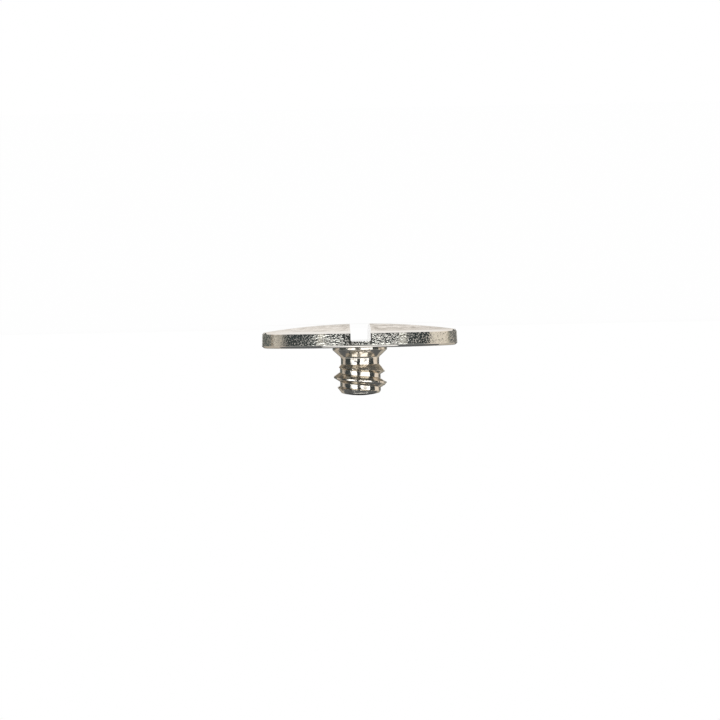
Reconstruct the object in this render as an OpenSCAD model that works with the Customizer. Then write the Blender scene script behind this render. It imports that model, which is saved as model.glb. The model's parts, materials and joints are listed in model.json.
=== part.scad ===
// Slotted watch screw, turned from one piece of bar: a wide thin head with a gently domed crown,
// a collar and a relief neck under it, and a short left-hand thread with a tapered, domed tip.
// The seat under the head lies at z = 0 and the shank points up, so the screw stands on its crown.
// The screwdriver slot runs along Y.

/* [Head] */
// Diameter of the head
head_d = 3.65; // [3:0.05:5]
// Height of the rim between the crown and the seat, bevels included
rim_h = 0.295; // [0.18:0.005:0.4]
// Rise of the domed crown above the rim
dome_h = 0.13; // [0.08:0.01:0.3]
// Leg of the bevel between the rim and the crown
crown_bevel = 0.04; // [0.01:0.005:0.06]
// Leg of the bevel between the rim and the seat
seat_bevel = 0.04; // [0.01:0.005:0.06]

/* [Slot] */
// Width of the screwdriver slot
slot_w = 0.35; // [0.2:0.01:0.6]
// Metal left between the floor of the slot and the seat
slot_web = 0.11; // [0.05:0.01:0.15]

/* [Shank] */
// Length of the shank from the seat to the tip
shank_l = 0.915; // [0.8:0.005:2]
// How far the collar under the head stands out over the thread
collar_over = 0.01; // [0:0.005:0.1]
// Straight height of the collar
collar_h = 0.06; // [0.03:0.005:0.15]
// Length of the taper from the collar down to the neck
collar_taper = 0.14; // [0.05:0.01:0.2]
// Length of the straight relief neck
neck_l = 0.13; // [0.05:0.01:0.2]
// How far the neck lies below the root of the thread
neck_relief = 0.02; // [0.01:0.005:0.05]

/* [Thread] */
// Outer diameter of the thread
thread_d = 1; // [0.8:0.05:1.4]
// Pitch of the thread
thread_pitch = 0.25; // [0.2:0.01:0.3]
// Angle between the flanks of the thread
thread_angle = 60; // [50:5:60]
// Width of the flat on the crest of the thread
crest_w = 0.03; // [0.02:0.005:0.05]
// Width of the flat in the root of the thread
root_w = 0.08; // [0.06:0.005:0.1]
// Turn of the thread about the axis
thread_turn = 75; // [0:5:355]
// Whether the thread is left-handed
left_hand = true; // [true, false]

/* [Tip] */
// Length of the lead-in taper at the tip
tip_taper = 0.18; // [0.1:0.01:0.25]
// How far the end face lies below the root of the thread
tip_relief = 0.02; // [0:0.005:0.1]
// Leg of the bevel round the end face
tip_bevel = 0.01; // [0.005:0.005:0.06]
// Rise of the domed end face
tip_dome = 0.045; // [0.01:0.005:0.06]

/* [Hidden] */
$fn = 360;
margin = 0.05;
thread_steps = 24;
tip_steps = 6;

head_r = head_d / 2;
head_h = rim_h + dome_h;
crown_edge_r = head_r - crown_bevel;
crown_r = (crown_edge_r * crown_edge_r + dome_h * dome_h) / (2 * dome_h);
bevel_run = crown_bevel + dome_h + margin;

thread_r = thread_d / 2;
flank_tan = tan(thread_angle / 2);
thread_depth = (thread_pitch - crest_w - root_w) / (2 * flank_tan);
root_r = thread_r - thread_depth;
collar_r = thread_r + collar_over;
neck_r = root_r - neck_relief;
tip_r = root_r - tip_relief;
neck_start = collar_h + collar_taper;
neck_end = neck_start + neck_l;
thread_start = neck_end + (thread_r - neck_r);
tip_edge_r = tip_r - tip_bevel;
tip_edge_z = shank_l - tip_dome;
tip_ball_r = (tip_edge_r * tip_edge_r + tip_dome * tip_dome) / (2 * tip_dome);
taper_end = tip_edge_z - tip_bevel;
taper_start = taper_end - tip_taper;
// Arc of the domed end face, from its edge to the axis
tip_arc = [for (step = [0:tip_steps])
    let (r = tip_edge_r * (1 - step / tip_steps))
    [r, shank_l - tip_ball_r + sqrt(tip_ball_r * tip_ball_r - r * r)]];

// The groove reaches past the crests by less than half a crest, so its turns stay clear of each other
cut_over = crest_w / (4 * flank_tan);
cut_r = thread_r + cut_over;
cut_half_out = (thread_pitch - crest_w) / 2 + cut_over * flank_tan;
cut_half_root = root_w / 2;
// It starts over the neck, clear of the collar, and runs out past the tip
cut_start = neck_start + cut_half_root;
cut_turns = (shank_l + thread_pitch - cut_start) / thread_pitch;
cut_rings = ceil(cut_turns * thread_steps);
// Corners of its section, as radius and height
cut_section = [
    [root_r, -cut_half_root],
    [cut_r, -cut_half_out],
    [cut_r, cut_half_out],
    [root_r, cut_half_root]
];
cut_corners = len(cut_section);

// Half section of the bar after turning: rim, seat, collar, neck, thread blank and tip
module turned_blank() {
    rotate_extrude()
        polygon(concat([
            [0, crown_bevel - rim_h - bevel_run],
            [head_r - bevel_run, crown_bevel - rim_h - bevel_run],
            [head_r, crown_bevel - rim_h],
            [head_r, -seat_bevel],
            [head_r - seat_bevel, 0],
            [collar_r, 0],
            [collar_r, collar_h],
            [neck_r, neck_start],
            [neck_r, neck_end],
            [thread_r, thread_start],
            [thread_r, taper_start],
            [tip_r, taper_end]
        ], tip_arc));
}

// Ball whose skin is the domed crown
module crown_ball() {
    translate([0, 0, crown_r - head_h])
        sphere(r = crown_r);
}

module screwdriver_slot() {
    translate([-slot_w / 2, -head_r - margin, -head_h - margin])
        cube([slot_w, head_d + 2 * margin, head_h + margin - slot_web]);
}

// The groove's section on one step of its helix
function groove_ring(step) =
    let (turn = thread_turn + 360 * step / thread_steps)
    let (z = cut_start + thread_pitch * step / thread_steps)
    [for (corner = cut_section) [corner[0] * cos(turn), corner[0] * sin(turn), z + corner[1]]];

// Helical groove that leaves the thread standing
module thread_groove() {
    points = [for (step = [0:cut_rings]) each groove_ring(step)];
    walls = [for (step = [0:cut_rings - 1], side = [0:cut_corners - 1])
        let (a = cut_corners * step + side)
        let (b = cut_corners * step + (side + 1) % cut_corners)
        each [[a, b, b + cut_corners], [a, b + cut_corners, a + cut_corners]]];
    first_cap = [for (side = [cut_corners - 1:-1:0]) side];
    last_cap = [for (side = [0:cut_corners - 1]) cut_corners * cut_rings + side];
    polyhedron(points, concat(walls, [first_cap, last_cap]));
}

module screw() {
    color("silver")
        difference() {
            intersection() {
                turned_blank();
                crown_ball();
            }
            screwdriver_slot();
            mirror([0, left_hand ? 1 : 0, 0])
                thread_groove();
        }
}

screw();
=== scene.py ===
import json
import math

import bpy
from mathutils import Matrix, Vector


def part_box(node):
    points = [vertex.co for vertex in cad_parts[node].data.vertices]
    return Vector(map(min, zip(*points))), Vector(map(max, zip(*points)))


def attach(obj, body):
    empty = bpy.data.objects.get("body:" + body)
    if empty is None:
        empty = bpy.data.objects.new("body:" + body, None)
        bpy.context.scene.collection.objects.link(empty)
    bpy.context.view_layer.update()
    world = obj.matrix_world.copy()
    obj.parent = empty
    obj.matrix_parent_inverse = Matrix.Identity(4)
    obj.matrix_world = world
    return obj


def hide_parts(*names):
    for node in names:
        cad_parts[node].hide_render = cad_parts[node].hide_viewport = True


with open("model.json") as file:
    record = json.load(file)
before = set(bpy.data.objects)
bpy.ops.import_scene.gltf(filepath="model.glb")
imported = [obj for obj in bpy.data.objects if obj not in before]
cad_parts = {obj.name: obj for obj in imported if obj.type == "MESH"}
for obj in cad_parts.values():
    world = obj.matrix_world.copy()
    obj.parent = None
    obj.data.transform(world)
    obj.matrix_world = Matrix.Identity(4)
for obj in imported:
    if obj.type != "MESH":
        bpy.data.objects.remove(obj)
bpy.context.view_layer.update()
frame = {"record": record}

mounts = {mount["name"]: mount for mount in frame["record"]["mounts"]}
boxLow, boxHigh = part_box("screw")
metre = 1000  # millimetres in a metre: shapes are drawn in mm and shrunk at the end


def addNode(tree, kind, inputs=None, **settings):
    node = tree.nodes.new(kind)
    for name, value in settings.items():
        setattr(node, name, value)
    for key, value in (inputs or {}).items():
        if isinstance(value, bpy.types.NodeSocket):
            tree.links.new(value, node.inputs[key])
        else:
            node.inputs[key].default_value = value
    return node


def calc(tree, operation, *values):
    return addNode(tree, "ShaderNodeMath", dict(enumerate(values)), operation=operation).outputs[0]


def vectorCalc(tree, operation, first, second):
    key = "Scale" if operation == "SCALE" else 1
    return addNode(tree, "ShaderNodeVectorMath", {0: first, key: second}, operation=operation).outputs[0]


def mapRange(tree, value, fromLow, fromHigh, toLow, toHigh, smooth=False):
    kind = "SMOOTHSTEP" if smooth else "LINEAR"
    inputs = dict(enumerate((value, fromLow, fromHigh, toLow, toHigh)))
    return addNode(tree, "ShaderNodeMapRange", inputs, interpolation_type=kind).outputs[0]


def switch(tree, test, no, yes):
    return addNode(tree, "GeometryNodeSwitch", {0: test, 1: no, 2: yes}, input_type="FLOAT").outputs[0]


def fromAxis(tree, place):
    # the part of a place that lies across the axis, and its length
    across = vectorCalc(tree, "MULTIPLY", place, (1, 1, 0))
    length = addNode(tree, "ShaderNodeVectorMath", {0: across}, operation="LENGTH").outputs["Value"]
    return across, length


# the screw: sizes in mm, the outer ones read from the frame
screw = {
    "segments": 288,  # columns round the axis
    "crownRows": 24,
    "tipRows": 8,
    "slotRows": 81,  # points along the slot
    "threadStep": 0.018,  # longest step along the thread's section
    "weld": 1e-5,  # points closer than this become one
    "sharpAngle": 35,  # degrees past which an edge is shaded sharp
    "headRadius": boxHigh.x * metre,
    "crownBevel": 0.04,
    "seatBevel": 0.04,
    "rimHeight": 0.295,
    "rimDraft": 2.2,  # degrees that the rim leans in towards the crown
    "domeRise": 0.13,
    "edgeRound": 0.005,  # rounding left on a sharp turned corner
    "softRound": 0.02,  # rounding of the rim's bevels and of the collar
    "crownRound": 0.015,  # rounding from the crown's bevel into the rim
    "seatRound": 0.06,  # rounding from the seat's bevel into the seat
    "slotWidth": 0.35,
    "slotFloor": mounts["slot"]["pos_m"][2] * metre,
    "lipBevel": 0.008,  # deburred edge along the slot
    "slotCorner": 0.02,  # corner the saw leaves at the floor of the slot
    "barReach": 1.02,  # length of the slot's cutter as a share of the head's
    "barRise": 3,  # bevels that the cutter's top stands past the dome
    "barFlare": 4,  # bevels that the cutter's top stands past a side of the slot
    "collarRadius": mounts["collar"]["dims"]["r_mm"],
    "collarHeight": mounts["collar"]["dims"]["length_mm"],
    "collarTaper": 0.14,
    "neckLength": 0.13,
    "neckRelief": 0.02,  # how far the neck lies below the thread's root
    "neckRound": 0.05,  # rounding from the collar's taper into the neck
    "runOut": 0.83,  # radius that the thread gains over its height where it starts
    "threadRadius": mounts["thread"]["dims"]["r_mm"],
    "pitch": 0.25,
    "flankAngle": 60,
    "crestFlat": 0.03,
    "rootFlat": 0.08,
    "crestHeight": 0.5629,  # where a crest crosses the +X side
    "crestWear": 0.012,  # most that a crest has lost
    "wearScale": 9,  # patches of wear in a mm
    "tipTaper": 0.18,
    "tipRelief": 0.02,
    "tipBevel": 0.01,
    "tipDome": 0.045,
    "tipHeight": boxHigh.z * metre,
}


def derivedSizes(s):
    flank = math.tan(math.radians(s["flankAngle"] / 2))
    s["threadDepth"] = (s["pitch"] - s["crestFlat"] - s["rootFlat"]) / (2 * flank)
    s["rootRadius"] = s["threadRadius"] - s["threadDepth"]
    s["neckRadius"] = s["rootRadius"] - s["neckRelief"]
    s["tipRadius"] = s["rootRadius"] - s["tipRelief"]
    s["neckStart"] = s["collarHeight"] + s["collarTaper"]
    s["neckEnd"] = s["neckStart"] + s["neckLength"]
    s["tipEdge"] = s["tipRadius"] - s["tipBevel"]
    s["taperEnd"] = s["tipHeight"] - s["tipDome"] - s["tipBevel"]
    s["taperStart"] = s["taperEnd"] - s["tipTaper"]
    s["crownEdge"] = s["headRadius"] - s["crownBevel"]
    s["bandLow"] = s["crownBevel"] - s["rimHeight"]
    s["bandHigh"] = -s["seatBevel"]
    lean = math.tan(math.radians(s["rimDraft"]))
    s["bandRadius"] = s["headRadius"] - (s["bandHigh"] - s["bandLow"]) * lean
    s["crownRadius"] = (s["crownEdge"] ** 2 + s["domeRise"] ** 2) / (2 * s["domeRise"])
    s["crownApex"] = -s["rimHeight"] - s["domeRise"]


derivedSizes(screw)


def span(start, end, count):
    # count points from start up to, but without, end
    return [tuple(a + (b - a) * i / count for a, b in zip(start, end)) for i in range(count)]


def roundCorner(before, corner, after, radius, steps=3):
    # short arc in place of a corner of the half section
    corner = Vector(corner)
    toBefore = (Vector(before) - corner).normalized()
    toAfter = (Vector(after) - corner).normalized()
    half = toBefore.angle(toAfter) / 2
    reach = radius / math.tan(half)
    centre = corner + (toBefore + toAfter).normalized() * radius / math.sin(half)
    first = corner + toBefore * reach - centre
    turn = first.angle_signed(corner + toAfter * reach - centre)
    return [tuple(centre + Matrix.Rotation(-turn * i / steps, 2) @ first) for i in range(steps + 1)]


def roundedLine(corners, hold=0.004):
    # open line through the corners, each an x and y and the rounding it gets; hold is in mm
    line = [tuple(corners[0][:2])]
    for before, corner, after in zip(corners, corners[1:], corners[2:]):
        line += roundCorner(before[:2], corner[:2], after[:2], corner[2])
    line.append(tuple(corners[-1][:2]))
    held = []
    for start, end in zip(line, line[1:]):
        held.append(start)
        length = math.dist(start, end)
        if length > 3 * hold:  # a row close to each end keeps a straight flat
            held.append(tuple(Vector(start).lerp(end, hold / length)))
            held.append(tuple(Vector(end).lerp(start, hold / length)))
    return held + [line[-1]]


def domeArc(edge, rise, apex, count):
    # points of a shallow dome from the axis out to, but without, its edge
    ball = (edge * edge + rise * rise) / (2 * abs(rise))
    sign = math.copysign(1, rise)
    radii = [edge * i / count for i in range(count)]
    return [(r, apex - sign * (ball - math.sqrt(ball * ball - r * r))) for r in radii]


def threadTurn(s):
    # one pitch of the thread's section, from the middle of a crest to the next
    halfCrest, halfRoot, middle = s["crestFlat"] / 2, s["rootFlat"] / 2, s["pitch"] / 2
    profile = roundedLine([
        (s["threadRadius"], 0),
        (s["threadRadius"], halfCrest, s["edgeRound"]),
        (s["rootRadius"], middle - halfRoot, s["edgeRound"]),
        (s["rootRadius"], middle + halfRoot, s["edgeRound"]),
        (s["threadRadius"], s["pitch"] - halfCrest, s["edgeRound"]),
        (s["threadRadius"], s["pitch"]),
    ])
    points = []
    for start, end in zip(profile, profile[1:]):
        points += span(start, end, 1 + int(math.dist(start, end) / s["threadStep"]))
    return points


def halfSection(s):
    # radius and height of each row, with 1 where the row climbs along the thread
    crown = domeArc(s["crownEdge"], -s["domeRise"], s["crownApex"], s["crownRows"])
    rim = roundedLine([
        crown[-1],
        (s["crownEdge"], -s["rimHeight"], s["softRound"]),
        (s["bandRadius"], s["bandLow"], s["crownRound"]),
        (s["headRadius"], s["bandHigh"], s["softRound"]),
        (s["headRadius"] - s["seatBevel"], 0, s["seatRound"]),
        (s["collarRadius"], 0, s["edgeRound"]),
        (s["collarRadius"], s["collarHeight"], s["softRound"]),
        (s["neckRadius"], s["neckStart"], s["neckRound"]),
        (s["neckRadius"], s["neckEnd"] - s["neckLength"] / 2),
    ])
    below = math.ceil((s["crestHeight"] - s["neckEnd"]) / s["pitch"])
    first = s["crestHeight"] - s["pitch"] * below
    turns = math.ceil((s["taperEnd"] + s["pitch"] - first) / s["pitch"])
    climbing = [(r, z + first + turn * s["pitch"], 1) for turn in range(turns) for r, z in threadTurn(s)]
    dome = domeArc(s["tipEdge"], s["tipDome"], s["tipHeight"], s["tipRows"])[::-1]
    edge = (s["tipEdge"], s["tipHeight"] - s["tipDome"], s["softRound"])
    tip = roundedLine([(s["tipRadius"], s["taperEnd"]), edge, dome[0]]) + dome[1:]
    return [(r, z, 0) for r, z in crown[:-1] + rim] + climbing + [(r, z, 0) for r, z in tip]


def latheNodes(tree, given, place):
    # one grid column for each step round the axis, one row for each point of the section
    size = addNode(tree, "GeometryNodeAttributeDomainSize", {"Geometry": given["Section"]})
    rows = size.outputs["Point Count"]
    columns = calc(tree, "ADD", given["segments"], 1)
    grid = addNode(tree, "GeometryNodeMeshGrid", {"Vertices X": columns, "Vertices Y": rows})
    index = tree.nodes.new("GeometryNodeInputIndex").outputs[0]
    row = calc(tree, "MODULO", index, rows)
    turn = calc(tree, "DIVIDE", calc(tree, "FLOOR", calc(tree, "DIVIDE", index, rows)), given["segments"])
    inputs = {"Geometry": given["Section"], "Value": place, "Index": row}
    sampled = addNode(tree, "GeometryNodeSampleIndex", inputs, data_type="FLOAT_VECTOR")
    at = addNode(tree, "ShaderNodeSeparateXYZ", {0: sampled.outputs[0]}).outputs
    radius, lead, height = at["X"], at["Y"], at["Z"]

    # the thread's rows rise with the turn, to the left, and stop at the neck and the tip
    risen = calc(tree, "SUBTRACT", height, calc(tree, "MULTIPLY", given["pitch"], turn))
    held = calc(tree, "MINIMUM", calc(tree, "MAXIMUM", risen, given["neckEnd"]), given["taperEnd"])
    z = switch(tree, lead, height, held)
    pastNeck = calc(tree, "SUBTRACT", z, given["neckEnd"])
    runOut = calc(tree, "MULTIPLY_ADD", pastNeck, given["runOut"], given["neckRadius"])
    ends = [given["taperStart"], given["taperEnd"], given["threadRadius"], given["tipRadius"]]
    limit = calc(tree, "MINIMUM", runOut, mapRange(tree, z, *ends))
    r = switch(tree, lead, radius, calc(tree, "MINIMUM", radius, limit))

    angle = calc(tree, "MULTIPLY", turn, math.tau)
    x = calc(tree, "MULTIPLY", r, calc(tree, "COSINE", angle))
    y = calc(tree, "MULTIPLY", r, calc(tree, "SINE", angle))
    spot = addNode(tree, "ShaderNodeCombineXYZ", {0: x, 1: y, 2: z}).outputs[0]
    turned = addNode(tree, "GeometryNodeSetPosition", {"Geometry": grid.outputs[0], "Position": spot})
    inputs = {"Geometry": turned.outputs[0], "Distance": screw["weld"]}
    return addNode(tree, "GeometryNodeMergeByDistance", inputs).outputs[0]


def wearNodes(tree, given, place, turned):
    # the crests have lost a little metal unevenly
    height = addNode(tree, "ShaderNodeSeparateXYZ", {0: place}).outputs["Z"]
    across, length = fromAxis(tree, place)
    outward = addNode(tree, "ShaderNodeVectorMath", {0: across}, operation="NORMALIZE").outputs[0]
    inputs = {"Vector": place, "Scale": screw["wearScale"], "Detail": 4, "Roughness": 0.7}
    noise = addNode(tree, "ShaderNodeTexNoise", inputs).outputs[0]
    onCrest = mapRange(tree, length, given["neckRadius"], given["threadRadius"], 0, 1, True)
    onThread = calc(tree, "GREATER_THAN", height, given["neckEnd"])
    share = calc(tree, "MULTIPLY", calc(tree, "MULTIPLY", onCrest, onThread), noise)
    lost = calc(tree, "MULTIPLY", share, calc(tree, "MULTIPLY", given["crestWear"], -1))
    inputs = {"Geometry": turned, "Offset": vectorCalc(tree, "SCALE", outward, lost)}
    return addNode(tree, "GeometryNodeSetPosition", inputs).outputs[0]


def slotNodes(tree, given, place, turned):
    # a bar along Y, wider where it passes the dome so that the lips come out bevelled
    inputs = {"Size": (2, 2, 3), "Vertices X": 2, "Vertices Y": screw["slotRows"], "Vertices Z": 4}
    bar = addNode(tree, "GeometryNodeMeshCube", inputs).outputs[0]
    where = addNode(tree, "ShaderNodeSeparateXYZ", {0: place}).outputs
    layer = calc(tree, "ADD", where["Z"], 1.5)  # 0 at the top of the bar, 3 at the slot's floor
    barLength = calc(tree, "MULTIPLY", given["headRadius"], screw["barReach"])
    barY = calc(tree, "MULTIPLY", where["Y"], barLength)
    halfSlot = calc(tree, "DIVIDE", given["slotWidth"], 2)
    reach = calc(tree, "ADD", calc(tree, "POWER", barY, 2), calc(tree, "POWER", halfSlot, 2))
    ball = calc(tree, "POWER", given["crownRadius"], 2)
    centre = calc(tree, "ADD", given["crownApex"], given["crownRadius"])
    lip = calc(tree, "SUBTRACT", centre, calc(tree, "SQRT", calc(tree, "SUBTRACT", ball, reach)))
    outerZ = calc(tree, "MULTIPLY_ADD", given["lipBevel"], -screw["barRise"], lip)
    outerHalf = calc(tree, "MULTIPLY_ADD", given["lipBevel"], screw["barFlare"], halfSlot)
    layers = [
        (calc(tree, "ADD", lip, given["lipBevel"]), halfSlot),
        (calc(tree, "SUBTRACT", given["slotFloor"], given["slotCorner"]), halfSlot),
        (given["slotFloor"], calc(tree, "SUBTRACT", halfSlot, given["slotCorner"])),
    ]
    barZ, barHalf = outerZ, outerHalf
    for number, (layerZ, layerHalf) in enumerate(layers):
        above = calc(tree, "GREATER_THAN", layer, number + 0.5)
        barZ = switch(tree, above, barZ, layerZ)
        barHalf = switch(tree, above, barHalf, layerHalf)
    barX = calc(tree, "MULTIPLY", where["X"], barHalf)
    spot = addNode(tree, "ShaderNodeCombineXYZ", {0: barX, 1: barY, 2: barZ}).outputs[0]
    cutter = addNode(tree, "GeometryNodeSetPosition", {"Geometry": bar, "Position": spot}).outputs[0]
    inputs = {"Mesh 1": turned, "Mesh 2": cutter}
    settings = {"operation": "DIFFERENCE", "solver": "EXACT"}
    return addNode(tree, "GeometryNodeMeshBoolean", inputs, **settings).outputs[0]


def finishNodes(tree, given, place, made, materials):
    # each face takes its finish by where it lies
    inMm = vectorCalc(tree, "SCALE", place, metre)
    where = addNode(tree, "ShaderNodeSeparateXYZ", {0: inMm}).outputs
    length = fromAxis(tree, inMm)[1]
    hair = 0.001  # mm
    onRim = calc(tree, "GREATER_THAN", length, calc(tree, "SUBTRACT", given["crownEdge"], 2 * hair))
    onCrown = calc(tree, "LESS_THAN", where["Z"], calc(tree, "SUBTRACT", -hair, given["rimHeight"]))
    level = calc(tree, "COMPARE", where["Z"], 0, hair)
    onSeat = calc(tree, "MULTIPLY", level, calc(tree, "GREATER_THAN", length, given["collarRadius"]))
    slotEdge = calc(tree, "MULTIPLY_ADD", given["slotWidth"], 0.5, given["lipBevel"])
    between = calc(tree, "LESS_THAN", calc(tree, "ABSOLUTE", where["X"]), slotEdge)
    below = calc(tree, "LESS_THAN", where["Z"], calc(tree, "ADD", given["slotFloor"], hair))
    onSlot = calc(tree, "MULTIPLY", between, below)
    order = [("thread", True), ("crown", onCrown), ("rim", onRim), ("seat", onSeat), ("slot", onSlot)]
    for name, chosen in order:
        inputs = {"Geometry": made, "Selection": chosen, "Material": materials[name]}
        made = addNode(tree, "GeometryNodeSetMaterial", inputs).outputs[0]
    return made


def screwTree(materials):
    tree = bpy.data.node_groups.new("turnedScrew", "GeometryNodeTree")
    face = tree.interface
    face.new_socket("Section", in_out="INPUT", socket_type="NodeSocketGeometry")
    sizes = [
        "pitch", "neckEnd", "neckRadius", "runOut", "threadRadius", "tipRadius", "taperStart", "taperEnd",
        "crestWear", "headRadius", "crownEdge", "crownRadius", "crownApex", "rimHeight",
        "collarRadius", "slotWidth", "slotFloor", "slotCorner", "lipBevel",
    ]
    face.new_socket("segments", in_out="INPUT", socket_type="NodeSocketInt")
    for name in sizes:
        face.new_socket(name, in_out="INPUT", socket_type="NodeSocketFloat")
    face.new_socket("Screw", in_out="OUTPUT", socket_type="NodeSocketGeometry")
    given = tree.nodes.new("NodeGroupInput").outputs
    place = tree.nodes.new("GeometryNodeInputPosition").outputs[0]
    turned = latheNodes(tree, given, place)
    worn = wearNodes(tree, given, place, turned)
    slotted = slotNodes(tree, given, place, worn)
    inputs = {"Geometry": slotted, "Scale": (1 / metre,) * 3}
    small = addNode(tree, "GeometryNodeTransform", inputs).outputs[0]
    made = addNode(tree, "GeometryNodeRealizeInstances", {"Geometry": small}).outputs[0]
    painted = finishNodes(tree, given, place, made, materials)
    tree.links.new(painted, tree.nodes.new("NodeGroupOutput").inputs["Screw"])
    return tree


def makeScrew(materials):
    section = bpy.data.meshes.new("halfSection")
    rows = halfSection(screw)
    section.from_pydata([(r, lead, z) for r, z, lead in rows], [], [])
    draft = bpy.data.objects.new("screwDraft", section)
    bpy.context.collection.objects.link(draft)
    turning = draft.modifiers.new("turning", "NODES")
    turning.node_group = screwTree(materials)
    for item in turning.node_group.interface.items_tree:
        if item.in_out == "INPUT" and item.name in screw:
            turning[item.identifier] = screw[item.name]
    graph = bpy.context.evaluated_depsgraph_get()
    mesh = bpy.data.meshes.new_from_object(draft.evaluated_get(graph), depsgraph=graph)
    draft.modifiers.remove(turning)
    bpy.data.objects.remove(draft)
    mesh.name = "watch_screw"
    mesh.shade_smooth()
    mesh.set_sharp_from_angle(angle=math.radians(screw["sharpAngle"]))
    piece = bpy.data.objects.new("watch_screw", mesh)
    bpy.context.collection.objects.link(piece)
    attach(piece, "root")
    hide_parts("screw")
    print("screw:", len(rows), "rows,", len(mesh.polygons), "faces")


# the finishes: one nickel-white steel dressed five ways, colours linear and sizes in mm
finish = {
    "steel": (0.78, 0.74, 0.67, 1),
    "grained": (0.75, 0.75, 0.69, 1),  # tint of the steel on the pitted rim
    "edge": (0.86, 0.82, 0.77, 1),  # tint of the metal at a glancing angle
    "bright": (0.93, 0.89, 0.84, 1),  # the same on the crown
    "clean": (1, 1, 1, 1),  # the same in the slot
    "dull": (0.44, 0.40, 0.35, 1),
    "soil": (0.09, 0.10, 0.085, 1),  # colour where the rim's pits are deepest
    "rimGrain": 0.042,  # size of the pits on the rim
    "rimDepth": 0.0030,
    "rimFade": 0.014,  # width over which the pits end at the bevels
    "rimFrost": 0.03,  # size of the frosted specks between the pits
    "frostLevels": (0.54, 0.59),  # noise at which a speck starts and is full
    "frostLift": 0.45,  # how far a speck is lifted above the colour of the deepest pits
    "rimGloss": (0.07, 0.55),  # roughness where clean and where frosted
    "crownCloud": 0.18,  # size of the dull patches on the crown and the seat
    "crownGloss": (0.58, 0.14),  # roughness where dull and where rubbed
    "rubStart": 0.4,  # distance from the axis where the painted shading on the crown starts to lighten outwards
    "rubTone": (-0.08, 0.12),  # tone of the painted shading there, darker, and at the crown's edge, lighter
    "seatGloss": (0.32, 0.16),
    "ringPitch": 0.011,  # spacing of the turning lines on the seat and crown
    "ringDepth": 0.0008,
    "ringTone": 0.25,  # how much the lines show in the crown's colour
    "sawPitch": 0.009,  # spacing of the saw lines in the slot
    "sawDepth": 0.0003,
    "sawStretch": (1, 0.03, 1),  # the lines run along the slot
    "slotGloss": (0.12, 0.05),
    "lumpSize": 0.10,  # size of the hollows that tumbling left on the thread
    "lumpDepth": 0.005,
    "threadGloss": (0.18, 0.08),
}


def newSteel(name):
    material = bpy.data.materials.new(name)
    material.use_nodes = True
    tree = material.node_tree
    shader = tree.nodes["Principled BSDF"]
    shader.inputs["Metallic"].default_value = 1
    shader.inputs["Specular Tint"].default_value = finish["edge"]
    place = addNode(tree, "ShaderNodeTexCoord").outputs["Object"]
    return material, tree, shader, vectorCalc(tree, "SCALE", place, metre)


def grain(tree, place, size, detail=3, roughness=0.6, stretch=(1, 1, 1)):
    drawn = vectorCalc(tree, "MULTIPLY", place, stretch)
    inputs = {"Vector": drawn, "Scale": 1 / size, "Detail": detail, "Roughness": roughness}
    return addNode(tree, "ShaderNodeTexNoise", inputs).outputs[0]


def turningLines(tree, place, pitch):
    inputs = {"W": fromAxis(tree, place)[1], "Scale": 1 / pitch, "Detail": 2, "Roughness": 0.5}
    return addNode(tree, "ShaderNodeTexNoise", inputs, noise_dimensions="1D").outputs[0]


def colourRamp(tree, value, stops):
    node = addNode(tree, "ShaderNodeValToRGB", {0: value})
    marks = node.color_ramp.elements
    while len(marks) < len(stops):
        marks.new(0.5)
    for mark, (spot, colour) in zip(marks, stops):
        mark.position = spot
        mark.color = colour
    return node.outputs[0]


def dress(tree, shader, colour, roughness, height):
    # height is the relief in mm
    bump = addNode(tree, "ShaderNodeBump", {"Strength": 1, "Distance": 1 / metre, "Height": height})
    tree.links.new(colour, shader.inputs["Base Color"])
    tree.links.new(roughness, shader.inputs["Roughness"])
    tree.links.new(bump.outputs[0], shader.inputs["Normal"])


def grainedRim(f):
    # pitted band between two polished bevels
    material, tree, shader, place = newSteel("grainedRim")
    height = addNode(tree, "ShaderNodeSeparateXYZ", {0: place}).outputs["Z"]
    low, high = screw["bandLow"], screw["bandHigh"]
    fromCrown = mapRange(tree, height, low, low + f["rimFade"], 0, 1, True)
    fromSeat = mapRange(tree, height, high - f["rimFade"], high, 1, 0, True)
    band = calc(tree, "MULTIPLY", fromCrown, fromSeat)
    pits = grain(tree, place, f["rimGrain"], 1, 0.5, (1, 1, 1.5))
    specks = mapRange(tree, grain(tree, place, f["rimFrost"], 1, 0.5), *f["frostLevels"], 0, 1, True)
    frosted = calc(tree, "MULTIPLY", specks, band)
    level = calc(tree, "MULTIPLY_ADD", frosted, f["frostLift"], mapRange(tree, band, 0, 1, 1, pits))
    # the rim is darkest where its pits are deepest
    stops = [(0.28, f["soil"]), (0.39, f["grained"]), (0.75, f["grained"]), (0.95, f["edge"])]
    colour = colourRamp(tree, level, stops)
    relief = calc(tree, "MULTIPLY", calc(tree, "MULTIPLY", pits, f["rimDepth"]), band)
    dress(tree, shader, colour, mapRange(tree, frosted, 0, 1, *f["rimGloss"]), relief)
    return material


def satinCrown(f):
    material, tree, shader, place = newSteel("satinCrown")
    lines = turningLines(tree, place, f["ringPitch"])
    cloud = grain(tree, place, f["crownCloud"], 4, 0.65)
    reach = fromAxis(tree, place)[1]
    # painted shading: the crown is darker near its middle and lighter towards its edge
    paintedShading = mapRange(tree, reach, f["rubStart"], screw["crownEdge"], *f["rubTone"])
    tone = calc(tree, "ADD", calc(tree, "MULTIPLY_ADD", lines, f["ringTone"], paintedShading), cloud)
    colour = colourRamp(tree, tone, [(0.50, f["dull"]), (0.72, f["edge"])])
    relief = calc(tree, "MULTIPLY", lines, f["ringDepth"])
    dress(tree, shader, colour, mapRange(tree, cloud, 0.35, 0.65, *f["crownGloss"]), relief)
    shader.inputs["Specular Tint"].default_value = f["bright"]
    return material


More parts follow.
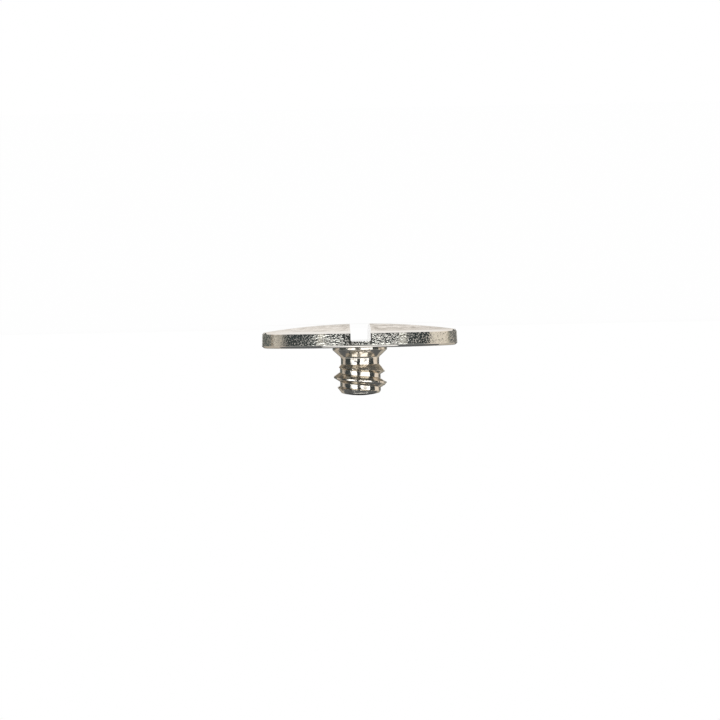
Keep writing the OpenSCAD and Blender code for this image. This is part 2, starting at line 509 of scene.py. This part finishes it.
def turnedSeat(f):
    material, tree, shader, place = newSteel("turnedSeat")
    lines = turningLines(tree, place, f["ringPitch"])
    cloud = grain(tree, place, f["crownCloud"], 3, 0.6)
    colour = colourRamp(tree, lines, [(0.25, f["dull"]), (0.5, f["steel"])])
    relief = calc(tree, "MULTIPLY", lines, f["ringDepth"])
    dress(tree, shader, colour, mapRange(tree, cloud, 0.3, 0.7, *f["seatGloss"]), relief)
    return material


def sawnSlot(f):
    material, tree, shader, place = newSteel("sawnSlot")
    lines = grain(tree, place, f["sawPitch"], 2, 0.5, f["sawStretch"])
    colour = colourRamp(tree, lines, [(0.25, f["dull"]), (0.45, f["steel"])])
    relief = calc(tree, "MULTIPLY", lines, f["sawDepth"])
    dress(tree, shader, colour, mapRange(tree, lines, 0.3, 0.7, *f["slotGloss"]), relief)
    shader.inputs["Specular Tint"].default_value = f["clean"]
    return material


def tumbledThread(f):
    material, tree, shader, place = newSteel("tumbledThread")
    lumps = grain(tree, place, f["lumpSize"], 2, 0.4)
    colour = colourRamp(tree, lumps, [(0.28, f["dull"]), (0.40, f["steel"])])
    relief = calc(tree, "MULTIPLY", lumps, f["lumpDepth"])
    dress(tree, shader, colour, mapRange(tree, lumps, 0.3, 0.7, *f["threadGloss"]), relief)
    return material


finishes = {
    "rim": grainedRim(finish),
    "crown": satinCrown(finish),
    "seat": turnedSeat(finish),
    "slot": sawnSlot(finish),
    "thread": tumbledThread(finish),
}
print("finishes:", ", ".join(finishes))
makeScrew(finishes)

# the camera: just over the paper and upside down, because the screw rests on its head
view = {
    "distance": 24.6,  # mm from the axis
    "azimuth": 0.6,  # degrees off the line of the slot
    "eye": -0.34,  # mm above the seat, so it lies between the rim's edge and the paper
    "aim": 0.255,  # mm above the seat, at the middle of the frame
    "focal": 1314 / 720,  # focal length as a share of the frame's width
    "tilt": 1.15,  # degrees that the right side of the head stands high
    "sensor": 36,
    "near": 0.5,  # mm, where the view starts
    "far": 2000,  # mm, where it ends
}


def makeCamera(v):
    turn, tilt = math.radians(v["azimuth"]), math.radians(v["tilt"])
    back = Vector((math.sin(turn), -math.cos(turn), 0)) * v["distance"]
    eye = (back + Vector((0, 0, v["eye"]))) / metre
    ahead = (Vector((0, 0, v["aim"])) / metre - eye).normalized()
    level = ahead.cross(Vector((0, 0, -1))).normalized()
    down = level.cross(ahead)
    right = level * math.cos(tilt) - down * math.sin(tilt)
    up = down * math.cos(tilt) + level * math.sin(tilt)
    lens = bpy.data.cameras.new("camera")
    lens.sensor_width = v["sensor"]
    lens.lens = lens.sensor_width * v["focal"]
    lens.clip_start = v["near"] / metre
    lens.clip_end = v["far"] / metre
    camera = bpy.data.objects.new("camera", lens)
    camera.matrix_world = Matrix((right, up, -ahead)).transposed().to_4x4()
    camera.location = eye
    bpy.context.collection.objects.link(camera)
    bpy.context.scene.camera = camera
    print("camera:", v["distance"], "mm away")


makeCamera(view)

# the studio: white paper under and behind, and cards round the screw that only its metal mirrors
studio = {
    "paperReach": 0.5,  # m each way
    "paperTone": (0.9, 0.9, 0.9),
    "paperShade": 0.1,  # share of the paper's white that takes shadows
    "ambient": 0.95,
    "cardDistance": 60,  # mm from the axis
    "cardSteps": 24,  # faces along a card
    "cardStart": 0.3,  # mm out from the rim, where a card's foot begins on the paper
    "cardLift": 0.01,  # mm between the paper and a foot
    "behindEnd": 2.2,  # mm out from the rim, where the cards close behind the head end
    "underStart": 0.72,  # share of the head's radius where the grey card under it begins, a painted shadow that the crown mirrors
    "lowTop": 9,  # degrees of elevation where a low wall ends and an upper wall starts
    "frontStart": 14,  # degrees of elevation where the front wall starts, over the softboxes
    "cardTop": 34,  # degrees of elevation where the cards end and the roof ring starts
    "capStart": 78,  # degrees of elevation where the roof ring ends and its cap starts
    "capEnd": 89.9,
    "backGap": 0.8,  # degrees of white left under the card straight behind
    "roofTone": (0.13, 0.138, 0.145),  # of the ring and the back half of the cap
    "frontTone": (0.50, 0.50, 0.48),  # of the half of the cap on the side of the camera
    # degrees round from the camera towards +X, start and end; tone; what the card is made of
    "cards": [
        (-165, -131, (0.18, 0.19, 0.195), "foot low wall"),
        (-165, -131, (0.55, 0.53, 0.48), "upper wall"),
        (-131, -125, (0.42, 0.40, 0.33), "foot wall"),
        (-125, -89, (0.92, 0.83, 0.735), "foot wall"),
        (-89, -55, (0.05, 0.06, 0.063), "foot low wall"),
        (-89, -55, (0.30, 0.31, 0.30), "upper wall"),
        (-55, -46, (0.46, 0.44, 0.40), "foot"),
        (-46, 0, (0.075, 0.079, 0.083), "foot"),
        (0, 19, (0.045, 0.05, 0.05), "foot low wall"),
        (-55, 49, (0.58, 0.57, 0.55), "front wall"),
        (19, 42, (0.09, 0.094, 0.098), "foot"),
        (42, 49, (0.62, 0.58, 0.52), "foot"),
        (49, 97, (0.055, 0.065, 0.067), "foot low wall"),
        (49, 97, (0.30, 0.31, 0.30), "upper wall"),
        (97, 103, (0.27, 0.255, 0.235), "foot wall"),
        (103, 115, (0.56, 0.51, 0.455), "foot wall"),
        (115, 119, (0.86, 0.79, 0.71), "foot wall"),
        (119, 122, (0.56, 0.51, 0.455), "foot wall"),
        (122, 127, (0.37, 0.31, 0.25), "foot wall"),
        (127, 165, (0.145, 0.166, 0.162), "foot low wall"),
        (127, 165, (0.50, 0.47, 0.42), "upper wall"),
        # painted shadow: a grey card on the paper under one side of the head, which the crown mirrors
        # darker
        (-170, -10, (0.80, 0.79, 0.78), "under"),
        (100, 135, (0.32, 0.315, 0.30), "behind"),
        (135, 165, (0.10, 0.104, 0.108), "behind"),
        (165, 195, (0.48, 0.47, 0.45), "behind"),
        (195, 225, (0.10, 0.104, 0.108), "behind"),
        (225, 260, (0.32, 0.315, 0.30), "behind"),
        (165, 195, (0.02, 0.022, 0.022), "back wall"),
        (165, 171, (0.36, 0.35, 0.32), "upper wall"),
        (171, 189, (0.03, 0.032, 0.032), "upper wall"),
        (189, 195, (0.36, 0.35, 0.32), "upper wall"),
    ],
    # azimuth and elevation in degrees; distance, width and height in mm; brightness
    "softboxes": [
        ("leftBox", 38, 7, 50, 33, 14, 1.3),
        ("rightBox", -27, 7, 50, 49, 14, 1.3),
        ("stripBox", 180, 88, 50, 42, 10, 1.1),
    ],
}


def towards(azimuth, elevation):
    a, e = math.radians(azimuth), math.radians(elevation)
    return Vector((math.sin(a) * math.cos(e), -math.cos(a) * math.cos(e), math.sin(e)))


def glow(name, tone):
    material = bpy.data.materials.new(name)
    material.use_nodes = True
    tree = material.node_tree
    tree.nodes.remove(tree.nodes["Principled BSDF"])
    light = addNode(tree, "ShaderNodeEmission", {"Color": (*tone, 1)})
    tree.links.new(light.outputs[0], tree.nodes["Material Output"].inputs["Surface"])
    return material


def makeCard(name, start, end, rows, tone):
    # curved card round the screw; each row gives a point of its edge for a turn
    steps = studio["cardSteps"]
    turns = [start + (end - start) * i / steps for i in range(steps + 1)]
    points = [row(turn) for turn in turns for row in rows]
    tall = len(rows)
    faces = []
    for i in range(steps):
        for j in range(tall - 1):
            a = i * tall + j
            faces.append((a, a + tall, a + tall + 1, a + 1))
    mesh = bpy.data.meshes.new(name)
    mesh.from_pydata(points, [], faces)
    mesh.materials.append(glow(name, tone))
    card = bpy.data.objects.new(name, mesh)
    card.visible_camera = card.visible_diffuse = card.visible_shadow = False
    bpy.context.collection.objects.link(card)


def makeCards(s):
    far = s["cardDistance"] / metre
    rim = screw["headRadius"] / metre
    lift = Vector((0, 0, s["cardLift"] / metre))
    ground = Vector((0, 0, boxLow.z)) + lift

    def onPaper(reach):
        # out from the spot of the rim that mirrors this turn to the camera
        return lambda turn: towards(turn / 2, 0) * rim + towards(turn, 0) * reach + ground

    # painted shadow: a ring of the paper under the head, seen only in the metal
    def shadowUnderHead(share):
        return lambda turn: towards(turn, 0) * rim * share + ground

    def behindHead(reach):
        # over the feet, and too low for what the camera in front sees mirrored
        return lambda turn: towards(turn, 0) * (rim + reach / metre) + ground + lift

    def raised(elevation):
        return lambda turn: towards(turn, elevation) * far

    kinds = {
        "foot": [onPaper(s["cardStart"] / metre), onPaper(far)],
        "foot wall": [onPaper(s["cardStart"] / metre), onPaper(far), raised(s["cardTop"])],
        "foot low wall": [onPaper(s["cardStart"] / metre), onPaper(far), raised(s["lowTop"])],
        "upper wall": [raised(s["lowTop"]), raised(s["cardTop"])],
        # the painted shadow under the head
        "under": [shadowUnderHead(s["underStart"]), shadowUnderHead(1)],
        "behind": [behindHead(s["cardStart"]), behindHead(s["behindEnd"])],
        "front wall": [raised(s["frontStart"]), raised(s["cardTop"])],
        "back wall": [raised(s["backGap"]), raised(s["lowTop"])],
        "roof": [raised(s["cardTop"]), raised(s["capStart"])],
        "cap": [raised(s["capStart"]), raised(s["capEnd"])],
    }
    for number, (start, end, tone, kind) in enumerate(s["cards"]):
        makeCard("card" + str(number + 1), start, end, kinds[kind], tone)
    lids = [
        ("roof", 0, 360, s["roofTone"], "roof"),
        ("frontCap", -90, 90, s["frontTone"], "cap"),
        ("backCap", 90, 270, s["roofTone"], "cap"),
    ]
    for name, start, end, tone, kind in lids:
        makeCard(name, start, end, kinds[kind], tone)
    return len(s["cards"]) + len(lids)


def makeSoftbox(name, azimuth, elevation, distance, width, height, brightness):
    lamp = bpy.data.lights.new(name, "AREA")
    lamp.shape = "RECTANGLE"
    lamp.size, lamp.size_y = width / metre, height / metre
    lamp.energy = brightness * math.pi * lamp.size * lamp.size_y
    box = bpy.data.objects.new(name, lamp)
    box.location = towards(azimuth, elevation) * distance / metre
    box.rotation_euler = box.location.to_track_quat("Z", "Y").to_euler()
    bpy.context.collection.objects.link(box)


def whiteShare(tree, straight):
    # how much plain white a ray sees: all of it by way of metal or glass, a share straight on
    path = addNode(tree, "ShaderNodeLightPath").outputs
    mirrored = calc(tree, "MAXIMUM", path["Is Glossy Ray"], path["Is Transmission Ray"])
    return calc(tree, "MAXIMUM", mirrored, calc(tree, "MULTIPLY", path["Is Camera Ray"], straight))


def makePaper(s):
    material = bpy.data.materials.new("whitePaper")
    material.use_nodes = True
    tree = material.node_tree
    tree.nodes.remove(tree.nodes["Principled BSDF"])
    paper = addNode(tree, "ShaderNodeBsdfDiffuse", {"Color": (*s["paperTone"], 1)}).outputs[0]
    white = addNode(tree, "ShaderNodeEmission", {"Color": (1, 1, 1, 1)}).outputs[0]
    share = whiteShare(tree, 1 - s["paperShade"])
    mixed = addNode(tree, "ShaderNodeMixShader", {0: share, 1: paper, 2: white}).outputs[0]
    tree.links.new(mixed, tree.nodes["Material Output"].inputs["Surface"])
    reach = s["paperReach"]
    corners = [(-reach, -reach), (reach, -reach), (reach, reach), (-reach, reach)]
    mesh = bpy.data.meshes.new("paper")
    mesh.from_pydata([(x, y, boxLow.z) for x, y in corners], [], [(0, 1, 2, 3)])
    mesh.materials.append(material)
    sheet = bpy.data.objects.new("paper", mesh)
    bpy.context.collection.objects.link(sheet)


def makeWorld(s):
    world = bpy.data.worlds.new("studio")
    bpy.context.scene.world = world
    world.use_nodes = True
    tree = world.node_tree
    plain = tree.nodes["Background"]
    plain.inputs["Color"].default_value = (s["ambient"],) * 3 + (1,)
    white = addNode(tree, "ShaderNodeBackground", {"Color": (1, 1, 1, 1)}).outputs[0]
    inputs = {0: whiteShare(tree, 1), 1: plain.outputs[0], 2: white}
    mixed = addNode(tree, "ShaderNodeMixShader", inputs).outputs[0]
    tree.links.new(mixed, tree.nodes["World Output"].inputs["Surface"])


makePaper(studio)
makeWorld(studio)
cardCount = makeCards(studio)
for box in studio["softboxes"]:
    makeSoftbox(*box)
bpy.context.scene.view_settings.view_transform = "Standard"
print("studio:", cardCount, "cards,", len(studio["softboxes"]), "softboxes")
